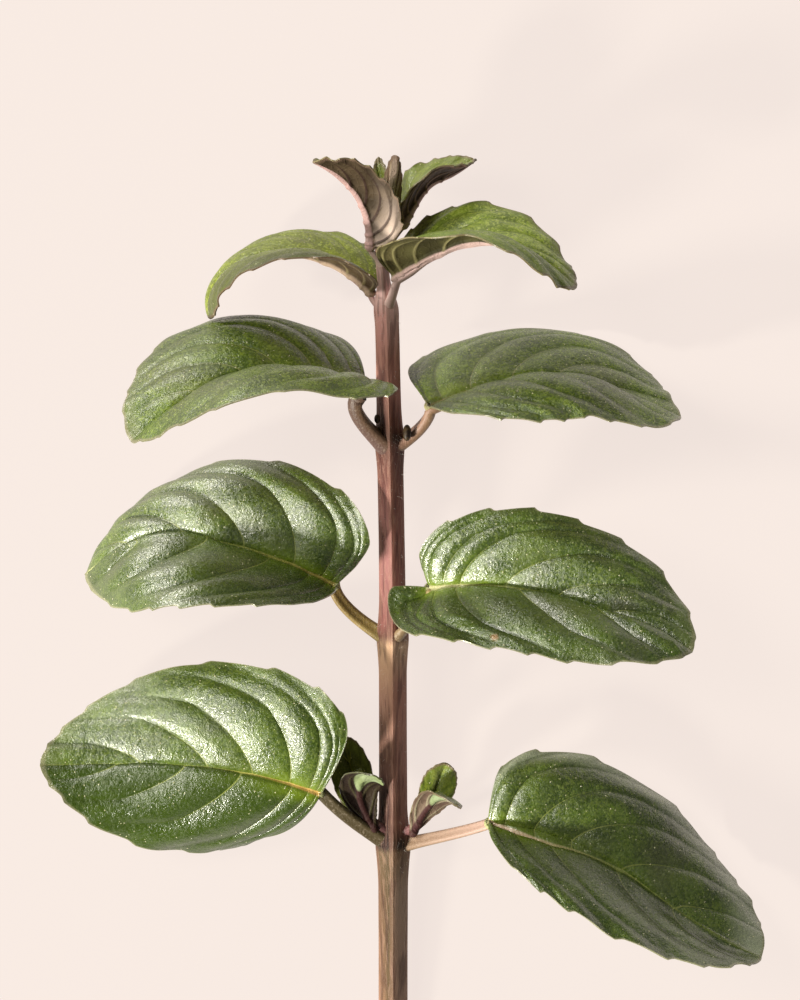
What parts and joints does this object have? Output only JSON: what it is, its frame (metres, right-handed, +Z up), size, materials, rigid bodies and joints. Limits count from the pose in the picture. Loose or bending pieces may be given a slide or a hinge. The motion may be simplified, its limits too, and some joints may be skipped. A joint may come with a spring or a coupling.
{
  "type": "mint sprig",
  "caption": "Cut sprig of mint lying on a surface: a square purplish stem with crossed pairs of broad, toothed, quilted leaves, folded young leaves at the tip and small shoots lower down.",
  "frame": {"origin": "middle of the sprig's box, on the surface it lies on", "axes": "+Y from the cut end of the stem to the tip, +X to the right seen from above, +Z up from the surface"},
  "size_m": [0.109, 0.1316, 0.041],
  "materials": {
    "leaf": "satin deep green leaf, paler between sunken veins, with a soft silvery sheen; stands for living leaf",
    "young_leaf": "satin yellow-green young leaf, purple-brown underneath; stands for living leaf",
    "stem": "satin purple-brown living stem with fine pale lines along it"
  },
  "bodies": {
    "root": {"main_stem": "stem", "leaf_1_left": "leaf", "leaf_1_right": "leaf", "leaf_2_left": "leaf", "leaf_2_right": "leaf", "leaf_3_left": "leaf", "leaf_3_right": "leaf", "leaf_4_left": "young_leaf", "leaf_4_right": "young_leaf", "leaf_5_left": "young_leaf", "leaf_5_right": "young_leaf", "side_shoot_left": "young_leaf", "side_shoot_right": "young_leaf", "tip_bud": "young_leaf"}
  },
  "joints": []
}
